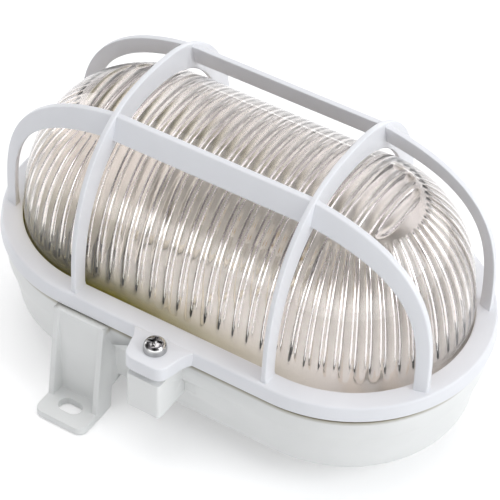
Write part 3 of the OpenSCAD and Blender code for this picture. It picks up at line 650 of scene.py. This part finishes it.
# Screw ears: half widths in the ring, at the neck and at the nose, how deep they start in the ring,
# how long the neck is, reach past the screw, roundings of the corners, radius and chamfer of the
# hole, and steps along the outline and about the hole
EAR_SUNK_W, EAR_ROOT_W, EAR_NOSE_W = 12.2, 9.8, 7.2
EAR_SINK, EAR_NECK = 1.3, 3.0
EAR_REACH = 7.9
EAR_CORNERS = (0.3, 0.3, 1.5, 3.6, 3.6, 1.5)
EAR_HOLE_R, EAR_CHAMFER = 2.25, 0.4
EAR_OUTLINE_STEPS, EAR_TURN_STEPS = 1500, 96

# Cross hoops: place, half widths and rises of both curves, thickness and power of the outer oval
HOOP_X = 37.0
HOOP_A, HOOP_IN_A = 48.45, 42.6
HOOP_RISE, HOOP_IN_RISE = 63.4, 54.5
HOOP_T = 1.9
HOOP_POWER = 2.45

# Long ribs: place, thickness, half length, depth at the foot, rise, depth at the crown, how far the
# ovals would bulge above the flat top that cuts them off, lean in degrees, and both powers
RIB_Y = 22.0
RIB_T = 2.3
RIB_A = 82.83
RIB_FOOT = 4.6
RIB_RISE = 58.7
RIB_CROWN = 8.4
RIB_BULGE = 1.5
RIB_LEAN = 17.0
RIB_POWER, RIB_IN_POWER = 3.1, 3.3

# Stations along the bars, how far they crowd at the feet, and the flare of the feet
HOOP_STEPS, RIB_STEPS = 150, 180
FOOT_CROWDING = 0.06
FOOT_FLARE = 0.3


def cage_ring(edge):
    """The ring's section of plate and skirt, carried round the spine."""
    section = rounded([[RING_IN_R, FLANGE_TOP], [SKIRT_IN_R, FLANGE_TOP], [SKIRT_IN_R, RING_LOW],
                       [RING_R, RING_LOW], [RING_TOP_R, RING_TOP], [RING_IN_R, RING_TOP]],
                      np.array([*SKIRT_CORNERS, 1.5 * edge, edge]), 4)
    x, heading = spine_stations(np.linspace(-SPINE_HALF, SPINE_HALF, RING_STATIONS[0])[1:-1],
                                np.linspace(-90, 90, RING_STATIONS[1]))
    return round_the_spine(section, x, heading)


def sort_pairs(keys, values):
    """Keys in rising order, with their values."""
    order = np.argsort(keys)
    return keys[order], values[order]


def cage_ear(side, edge):
    """A screw ear: loops about the screw hole, from the hole over the top to the outline and back
    below. The outline is a polygon with rounded corners, read as a radius for each angle."""
    root, nose = RING_R - EAR_SINK, SCREW_Y + EAR_REACH
    outline = rounded([[EAR_SUNK_W, -root], [-EAR_SUNK_W, -root], [-EAR_ROOT_W, -root - EAR_NECK],
                       [-EAR_NOSE_W, -nose], [EAR_NOSE_W, -nose], [EAR_ROOT_W, -root - EAR_NECK]],
                      np.array(EAR_CORNERS), 10)
    outline = np.concatenate([outline, outline[:1]])
    length = np.concatenate([[0], np.cumsum(np.linalg.norm(np.diff(outline, axis=0), axis=1))])
    even = np.linspace(0, length[-1], EAR_OUTLINE_STEPS)
    offset = np.stack([np.interp(even, length, outline[:, k]) for k in (0, 1)], -1) + [0, SCREW_Y]
    turn = np.linspace(0, 2 * math.pi, EAR_TURN_STEPS, endpoint=False)
    reach = np.interp(turn, *sort_pairs(np.arctan2(offset[:, 1], offset[:, 0]) % (2 * math.pi),
                                        np.hypot(offset[:, 0], offset[:, 1])), period=2 * math.pi)
    loops = [(EAR_HOLE_R, RING_LOW), (EAR_HOLE_R, RING_TOP - EAR_CHAMFER),
             (EAR_HOLE_R + EAR_CHAMFER, RING_TOP)]
    loops += [(reach - edge * (1 - np.sin(b)), RING_TOP - edge * (1 - np.cos(b)))
              for b in np.linspace(0, math.pi / 2, 5)]
    radii, levels = loop_grid(loops + [(reach, RING_LOW)], turn)
    x, y = radii * np.cos(turn), radii * np.sin(turn) - SCREW_Y
    return np.stack([-side * x, -side * y, levels], axis=-1)


def bar(outer, inner, thickness, across, edge):
    """Sweeps a rounded strip along two curves: the section at each station is a rectangle from
    the outer to the inner point, as thick as given along one axis."""
    half = 0.5 * thickness[:, None] * across
    corners = np.stack([outer - half, outer + half, inner + half, inner - half], axis=1)
    return rounded(corners, edge, 4)


def bar_stations(steps):
    """Angles along a bar, closer together at its feet: pi (s - crowding sin(2 pi s))."""
    s = np.linspace(0, 1, steps)
    return math.pi * (s - FOOT_CROWDING * np.sin(2 * math.pi * s))


def foot_flare(z):
    """Extra thickness at a bar's foot, a quarter round that dies out FOOT_FLARE above the ring."""
    near = np.clip(1 - np.maximum(z, 0) / FOOT_FLARE, 0, 1)
    return 2 * FOOT_FLARE * (1 - np.sqrt(1 - near ** 2))


def close_ends(shell):
    """Draws each end of a bar together into its middle, so that the grid closes."""
    first, last = shell[:1].mean(axis=1, keepdims=True), shell[-1:].mean(axis=1, keepdims=True)
    return np.concatenate([first + 0 * shell[:1], shell, last + 0 * shell[-1:]])


def with_feet(curve):
    """Carries a curve's two ends down into the ring's plate."""
    down = np.array([0, -PLATE_T / 2])
    return np.concatenate([curve[:1] + down, curve, curve[-1:] + down])


def cage_hoop(side, edge):
    """A cross hoop: a flat strip between an outer and an inner curve."""
    t = bar_stations(HOOP_STEPS)
    outer = oval(HOOP_A, HOOP_RISE, HOOP_POWER, t)
    inner = oval(HOOP_IN_A, HOOP_IN_RISE, GLASS_POWER, t)
    outer, inner = with_feet(outer), with_feet(inner)
    place = [np.stack([np.full(len(c), side * HOOP_X), c[:, 0], c[:, 1] + RING_TOP], axis=-1)
             for c in (outer, inner)]
    thickness = HOOP_T + foot_flare(outer[:, 1])
    return close_ends(bar(*place, thickness, np.array([1.0, 0, 0]), edge))


def cage_rib(side, edge):
    """A long rib: its lower edge stands further out by the tangent of the lean."""
    t = bar_stations(RIB_STEPS)
    outer = oval(RIB_A, RIB_RISE + RIB_BULGE, RIB_POWER, t)
    inner = oval(RIB_A - RIB_FOOT, RIB_RISE - RIB_CROWN + RIB_BULGE, RIB_IN_POWER, t)
    outer[:, 1] = np.minimum(outer[:, 1], RIB_RISE)
    inner[:, 1] = np.minimum(inner[:, 1], RIB_RISE - RIB_CROWN)
    outer, inner = with_feet(outer), with_feet(inner)
    depth = np.linalg.norm(outer - inner, axis=1)
    lean = RIB_Y + depth * math.tan(math.radians(RIB_LEAN))
    place = [np.stack([c[:, 0], y, c[:, 1] + RING_TOP], axis=-1)
             for c, y in ((outer, -RIB_Y + 0 * lean), (inner, -lean))]
    thickness = RIB_T + foot_flare(outer[:, 1])
    return close_ends(bar(*place, thickness, np.array([0, 1.0, 0]), edge)) * [side, side, 1]


class CAGE_OT_make(bpy.types.Operator):
    """Makes the guard cage with its rounded edges"""
    bl_idname = "wall_light.cage"
    bl_label = "Guard cage"

    def execute(self, context):
        s = context.scene.wall_light_cage
        edge = s.edge / MM
        shells = [cage_ring(edge)]
        for side in (-1, 1):
            shells += [cage_ear(side, edge), cage_hoop(side, edge), cage_rib(side, edge)]
        plastic = mottled("cage_plastic", s.colour, shaded(s.colour, 0.97), (0.34, 0.46))
        finish_piece(make_piece("moulded_cage", shells), plastic, "guard_cage")
        return {"FINISHED"}


# Base and the pieces inside

# Lugs and bosses lie outside this radius, and only their edges are rounded
LUG_FROM_R = 48.9
BASE_EDGE = 0.45
# Edges over so many degrees stay sharp
SHARP_BASE = 33.0
SHARP_SCREW = 35.0
SHARP_LEAD = 50.0

# Cross recess: an arm's reach and half width, depth, turn, the floor's hollow and its shares of
# reach and width, and the worn mouth as shares and offsets of the outline
RECESS_L, RECESS_W = 2.5, 0.62
RECESS_DEPTH = 1.9
RECESS_TURN = 18.0
RECESS_HOLLOW = 0.3
RECESS_FLOOR = (0.6, 0.65)
MOUTH_SHARE, MOUTH_DROP = 0.93, 0.25
EDGE_DROP, LIP_OUT = 0.05, 0.1

# Screw: power of the head's oval, the angle on it where the side begins, how far the underside is
# set back, then shank, thread and point
HEAD_POWER = 3.0
HEAD_SIDE = 52
HEAD_BELOW = 0.1
SHANK_R = 2.0
THREAD_DEPTH = 0.28
SCREW_PITCH = 0.7
THREAD_FROM, THREAD_END = 0.2, 0.8
POINT_R, POINT_TIP_R, POINT_H = 1.45, 1.1, 0.3

# Rolled thread of the lamp's screw shell: pitch, wave, wall, plain lips, and steps of its grid
SHELL_PITCH = 3.62
SHELL_WAVE = 0.5
SHELL_WALL = 0.4
SHELL_LIP = 1.5
SHELL_TURN_STEPS, SHELL_LENGTH_STEPS = 96, 60


class BASE_OT_make(bpy.types.Operator):
    """Gives the base its moulded plastic"""
    bl_idname = "wall_light.base"
    bl_label = "Base"

    def execute(self, context):
        colour = context.scene.wall_light_base.colour
        mesh = merged_mesh("base_housing", "moulded_base")
        round_edges(mesh, spine_radius(mesh_points(mesh)) > LUG_FROM_R, BASE_EDGE)
        # The rim's points, inside LUG_FROM_R, take the painted shade under the cage
        add_values(mesh, SHADED_RIM, spine_radius(mesh_points(mesh)) < LUG_FROM_R)
        piece = smooth_piece(mesh, SHARP_BASE)
        piece.modifiers.new("face_weights", "WEIGHTED_NORMAL").keep_sharp = True
        plastic = mottled("base_plastic", colour, shaded(colour, 0.96), (0.38, 0.5), mottle=45.0)
        # Painted shade darkens the rim under the cage
        finish_piece(piece, painted_seam_shade(plastic), "base_housing")
        return {"FINISHED"}


def cross_radius(turn, length, width):
    """Outline of a cross as a radius: the nearer of an arm's end and its side."""
    folded = (turn + math.pi / 4) % (math.pi / 2) - math.pi / 4
    return np.minimum(length / np.cos(folded), width / np.maximum(np.abs(np.sin(folded)), 1e-9))


def pan_screw(lo, hi):
    """A pan-head screw as loops about its axis: out of the cross recess, over the head, a
    superellipse of revolution, and down a thread whose radius drops by a wave of its pitch."""
    centre, head_r, head_h = (lo + hi) / 2, (hi[0] - lo[0]) / 2, hi[2] - RING_TOP
    arm = math.atan(RECESS_W / RECESS_L)
    quarter = np.concatenate([np.linspace(0, math.pi / 2, 17)[:-1], [arm, math.pi / 2 - arm]])
    turn = np.sort((quarter[None] + np.arange(4)[:, None] * math.pi / 2).ravel())

    def dome(r):
        """Height of the head at a radius."""
        return head_h * np.maximum(0, 1 - (r / head_r) ** HEAD_POWER) ** (1 / HEAD_POWER)

    edge = cross_radius(turn, RECESS_L, RECESS_W)
    floor = cross_radius(turn, RECESS_FLOOR[0] * RECESS_L, RECESS_FLOOR[1] * RECESS_W)
    mouth, lip = MOUTH_SHARE * edge, edge + LIP_OUT
    deep = head_h - RECESS_DEPTH
    side = oval(head_r, head_h, HEAD_POWER, np.radians(np.linspace(HEAD_SIDE, 0, 10)))
    loops = [(0, deep - RECESS_HOLLOW), (floor, deep), (mouth, dome(mouth) - MOUTH_DROP),
             (edge, dome(edge) - EDGE_DROP)]
    loops += [(r, dome(r)) for r in (lip, *((1 - s) * lip + s * side[0, 0] for s in (0.3, 0.65)))]
    loops += [*side, (head_r - HEAD_BELOW, 0), (SHANK_R, 0)]
    shank = np.arange(THREAD_FROM, RING_TOP - lo[2] - THREAD_END, SCREW_PITCH / 4)
    wave = 0.5 - 0.5 * np.cos(2 * math.pi * shank[:, None] / SCREW_PITCH + turn)
    loops += [(SHANK_R - THREAD_DEPTH * w, -z) for w, z in zip(wave, shank)]
    end = lo[2] - RING_TOP
    loops += [(POINT_R, end + POINT_H), (POINT_TIP_R, end), (0, end)]
    radii, levels = loop_grid(loops, turn)
    angle = turn + math.radians(RECESS_TURN)
    return np.stack([centre[0] + radii * np.cos(angle), centre[1] + radii * np.sin(angle),
                     RING_TOP + levels], axis=-1)


def thread_shell(lo, hi):
    """The lamp's screw shell: a thin tube along X whose radius follows the rolled thread,
    R - wave (1 + cos(2 pi x / pitch + turn)), and is plain at both lips."""
    centre, r = (lo + hi) / 2, (hi[2] - lo[2]) / 2
    turn = np.linspace(0, 2 * math.pi, SHELL_TURN_STEPS, endpoint=False)[:, None]
    x = np.linspace(lo[0], hi[0], SHELL_LENGTH_STEPS)[None]
    lip = np.clip(np.minimum(x - lo[0], hi[0] - x) / SHELL_LIP, 0, 1)
    outer = r - SHELL_WAVE * lip * (1 + np.cos(2 * math.pi * x / SHELL_PITCH + turn))
    radii = np.concatenate([outer, outer[:, ::-1] - SHELL_WALL], axis=1)
    along = np.concatenate([x, x[:, ::-1]], axis=1) + 0 * radii
    return np.stack([along, centre[1] + radii * np.cos(turn), centre[2] + radii * np.sin(turn)],
                    axis=-1)


def box_mm(node):
    """The low and high corner of a CAD node's box, in millimetres."""
    return (np.array(corner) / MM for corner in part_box(node))


class FITTINGS_OT_make(bpy.types.Operator):
    """Gives screws, lamp holder, terminals, leads and rubber their finishes"""
    bl_idname = "wall_light.fittings"
    bl_label = "Fittings"

    def execute(self, context):
        zinc = mottled("bright_zinc", (0.50, 0.50, 0.50), (0.40, 0.40, 0.40), (0.12, 0.24), 1.0,
                       mottle=400.0)
        dress(zinc, "cover_nut_front", "cover_nut_rear", "holder_screw_left",
              "holder_screw_right", "bracket_screw_left", "bracket_screw_right")
        for name in ("front", "rear"):
            shell = pan_screw(*box_mm("cover_screw_" + name))
            finish_piece(make_piece("pan_screw_" + name, [shell], SHARP_SCREW, ring=False),
                         zinc, "cover_screw_" + name)
        shell = thread_shell(*box_mm("holder_thread_shell"))
        finish_piece(make_piece("rolled_thread_shell", [shell]),
                     mottled("dull_zinc", (0.80, 0.80, 0.78), (0.72, 0.72, 0.70), (0.42, 0.55), 1.0,
                             mottle=300.0), "holder_thread_shell")
        dress(mottled("plated_sheet", (0.66, 0.67, 0.69), (0.56, 0.57, 0.60), (0.28, 0.42), 1.0,
                      mottle=120.0), "holder_bracket")
        dress(mottled("glazed_holder", (0.82, 0.81, 0.77), (0.78, 0.77, 0.73), (0.12, 0.22)),
              "holder_body")
        dress(mottled("stamped_brass", (0.76, 0.58, 0.27), (0.68, 0.49, 0.20), (0.2, 0.36), 1.0,
                      mottle=200.0), "centre_contact", "side_contact",
              "terminal_screw_1", "terminal_screw_2", "terminal_screw_3", "terminal_screw_4")
        dress(mottled("terminal_nylon", (0.80, 0.80, 0.76), (0.76, 0.76, 0.71), (0.42, 0.55)),
              "terminal_block")
        sleeve = mottled("cream_sleeve", (0.80, 0.77, 0.68), (0.76, 0.72, 0.62), (0.35, 0.5))
        for name in ("live", "neutral"):
            mesh = merged_mesh(name + "_lead", name + "_sleeve")
            finish_piece(smooth_piece(mesh, SHARP_LEAD), sleeve, name + "_lead")
        dress(mottled("soft_rubber", (0.80, 0.77, 0.72), (0.76, 0.73, 0.67), (0.5, 0.7),
                      grain_height=0.05), "cable_grommet")
        dress(mottled("olive_rubber", (0.20, 0.18, 0.10), (0.17, 0.15, 0.08), (0.5, 0.7),
                      grain_height=0.05), "glass_gasket")
        return {"FINISHED"}


# Stage

# World in reflections and through glass: the bright band's strength, and the strengths by height,
# where 0 is the horizon and all below it
BAND = 3.0
SKY = ((0.0, (3.0, 3.0, 3.0)), (0.22, (3.0, 3.0, 3.0)), (0.36, (0.60, 0.56, 0.58)),
       (1.0, (0.50, 0.47, 0.51)))
# Dark patch: its direction, the cosines of its soft edge and the light that is left in it
DARK_SIDE = (0.366, -0.628, 0.686)
DARK_EDGE = (0.84, 0.95)
DARK_LEVEL = 0.04
# The room darkens towards -X: its light rises between these directions from level to level
SIDE_X = (-0.7, -0.3)
SIDE_LEVELS = (0.05, 1.0)
# Soft light on everything else
AMBIENT_COLOUR = (0.97, 0.98, 1.0)

# Floor: half its size, its depth below the soles, its colour, and its glow where it is seen, which
# rises to 1 for the camera between two distances
FLOOR_HALF, FLOOR_DROP = 4.0, 0.0002
FLOOR_COLOUR = (0.9, 0.9, 0.9)
FLOOR_GLOW = 0.3
FLOOR_NEAR, FLOOR_FAR = 0.5, 1.2

# Lamps: name, place, size, share of the key lamp's power and colour, and the point that they face
LAMPS = (("key", (1.5, 0.1, 1.0), 1.0, 1.0, (0.96, 0.98, 1.0)),
         ("top", (-0.2, 0.2, 1.7), 1.2, 0.6, (1.0, 0.98, 0.975)),
         ("side", (-1.5, 0.3, 0.35), 0.8, 0.35, (1.0, 0.98, 0.98)))
LAMP_AIM = (0, 0, 0.05)

# Camera: target, focal length in pixels of a square picture, sensor, and clip distances in metres
TARGET = (0.98, 1.59, 46.0)
FOCAL_PX, PICTURE_PX = 2090.6, 500
SENSOR = 36.0
CLIP = (0.02, 20.0)


def light_world(ambient):
    """White to the camera, a bright horizon under a grey sky in reflections and through glass, and
    soft ambient light elsewhere."""
    world = bpy.data.worlds.new("studio")
    world.use_nodes = True
    tree = world.node_tree
    soft = tree.nodes["Background"]
    soft.inputs["Color"].default_value = (*AMBIENT_COLOUR, 1)
    soft.inputs["Strength"].default_value = ambient
    white, room = (tree.nodes.new("ShaderNodeBackground") for _ in range(2))
    white.inputs["Color"].default_value = (1, 1, 1, 1)
    way = tree.nodes.new("ShaderNodeTexCoord").outputs["Generated"]
    split = tree.nodes.new("ShaderNodeSeparateXYZ")
    tree.links.new(way, split.inputs["Vector"])
    sky = colour_ramp(tree, split.outputs["Z"], [(place, shaded(colour, 1 / BAND))
                                                 for place, colour in SKY])
    tree.links.new(sky, room.inputs["Color"])
    towards = tree.nodes.new("ShaderNodeVectorMath")
    towards.operation = "DOT_PRODUCT"
    towards.inputs[1].default_value = DARK_SIDE
    tree.links.new(way, towards.inputs[0])
    dark = map_range(tree, towards.outputs["Value"], DARK_EDGE, (BAND, DARK_LEVEL * BAND))
    side = map_range(tree, split.outputs["X"], SIDE_X, SIDE_LEVELS)
    tree.links.new(combine(tree, "MULTIPLY", dark, side), room.inputs["Strength"])
    seen = mix_shaders(tree, rays(tree, "Is Glossy Ray", "Is Transmission Ray"),
                       soft.outputs[0], room.outputs[0])
    seen = mix_shaders(tree, rays(tree, "Is Camera Ray"), seen, white.outputs[0])
    tree.links.new(seen, tree.nodes["World Output"].inputs["Surface"])
    bpy.context.scene.world = world


def pale_floor():
    """A wide floor that looks white to the camera and keeps the object's shadow. Between the
    distances FLOOR_NEAR and FLOOR_FAR its glow for the camera rises, so the far floor is white."""
    half, low = FLOOR_HALF, -FLOOR_DROP
    mesh = bpy.data.meshes.new("floor")
    mesh.from_pydata([(-half, -half, low), (half, -half, low), (half, half, low),
                      (-half, half, low)], [], [(0, 1, 2, 3)])
    floor = bpy.data.objects.new("floor", mesh)
    bpy.context.scene.collection.objects.link(floor)
    material, tree, shader = new_material("floor_white")
    shader.inputs["Base Color"].default_value = (*FLOOR_COLOUR, 1)
    shader.inputs["Roughness"].default_value = 0.9
    shader.inputs["Emission Color"].default_value = (1, 1, 1, 1)
    lift = combine(tree, "MULTIPLY",
                   rays(tree, "Is Camera Ray", "Is Glossy Ray", "Is Transmission Ray"), FLOOR_GLOW)
    distance = tree.nodes.new("ShaderNodeVectorMath")
    distance.operation = "LENGTH"
    tree.links.new(tree.nodes.new("ShaderNodeTexCoord").outputs["Object"], distance.inputs[0])
    far = map_range(tree, distance.outputs["Value"], (FLOOR_NEAR, FLOOR_FAR), (0, 1 - FLOOR_GLOW))
    glow = combine(tree, "MULTIPLY_ADD", far, rays(tree, "Is Camera Ray"), lift)
    tree.links.new(glow, shader.inputs["Emission Strength"])
    mesh.materials.append(material)


def add_lamp(name, place, size, power, colour):
    """A square lamp that faces LAMP_AIM."""
    lamp = bpy.data.lights.new(name, "AREA")
    lamp.shape = "RECTANGLE"
    lamp.size = lamp.size_y = size
    lamp.energy = power
    lamp.color = colour
    holder = bpy.data.objects.new(name, lamp)
    holder.location = place
    way = Vector(LAMP_AIM) - Vector(place)
    holder.rotation_euler = way.to_track_quat("-Z", "Y").to_euler()
    bpy.context.scene.collection.objects.link(holder)


def add_camera(s):
    """Looks at the target from the photograph's side, with its roll."""
    target = np.array(TARGET) * MM
    a, e = s.azimuth, s.elevation
    right = np.array([math.cos(a), math.sin(a), 0])
    back = np.array([math.sin(a) * math.cos(e), -math.cos(a) * math.cos(e), math.sin(e)])
    up = np.cross(back, right)
    turned_right = right * math.cos(s.roll) + up * math.sin(s.roll)
    turned_up = up * math.cos(s.roll) - right * math.sin(s.roll)
    data = bpy.data.cameras.new("camera")
    data.sensor_width = SENSOR
    data.lens = FOCAL_PX / PICTURE_PX * SENSOR
    data.clip_start, data.clip_end = CLIP
    camera = bpy.data.objects.new("camera", data)
    axes = np.eye(4)
    axes[:3] = np.stack([turned_right, turned_up, back, target + back * s.distance], axis=1)
    camera.matrix_world = Matrix(axes)
    bpy.context.scene.collection.objects.link(camera)
    bpy.context.scene.camera = camera


class STAGE_OT_make(bpy.types.Operator):
    """Sets up floor, light and camera"""
    bl_idname = "wall_light.stage"
    bl_label = "Stage"

    def execute(self, context):
        s = context.scene.wall_light_stage
        light_world(s.ambient)
        pale_floor()
        for name, place, size, share, colour in LAMPS:
            add_lamp(name, place, size, share * s.key, colour)
        context.scene.view_settings.view_transform = "Standard"
        add_camera(s)
        return {"FINISHED"}


class WALL_LIGHT_PT_panel(bpy.types.Panel):
    """Lists the operators"""
    bl_label = "Wall Light"
    bl_idname = "WALL_LIGHT_PT_panel"
    bl_space_type = "VIEW_3D"
    bl_region_type = "UI"
    bl_category = "Wall Light"

    def draw(self, context):
        for operator in OPERATORS:
            self.layout.operator(operator.bl_idname)


SETTINGS = {"wall_light_glass": GlassSettings, "wall_light_cage": CageSettings,
            "wall_light_base": BaseSettings, "wall_light_stage": StageSettings}
OPERATORS = (STAGE_OT_make, BASE_OT_make, CAGE_OT_make, GLASS_OT_make, FITTINGS_OT_make)


def register():
    """Registers settings, operators and panel."""
    for settings in SETTINGS.values():
        bpy.utils.register_class(settings)
    for operator in OPERATORS:
        bpy.utils.register_class(operator)
    bpy.utils.register_class(WALL_LIGHT_PT_panel)
    for name, settings in SETTINGS.items():
        setattr(bpy.types.Scene, name, PointerProperty(type=settings))


def unregister():
    """Takes back what register does, in the opposite order."""
    for name in SETTINGS:
        delattr(bpy.types.Scene, name)
    bpy.utils.unregister_class(WALL_LIGHT_PT_panel)
    for operator in reversed(OPERATORS):
        bpy.utils.unregister_class(operator)
    for settings in SETTINGS.values():
        bpy.utils.unregister_class(settings)


def main():
    """Makes everything."""
    register()
    bpy.ops.wall_light.stage()
    bpy.ops.wall_light.base()
    bpy.ops.wall_light.cage()
    bpy.ops.wall_light.glass()
    bpy.ops.wall_light.fittings()


if __name__ == "__main__":
    main()
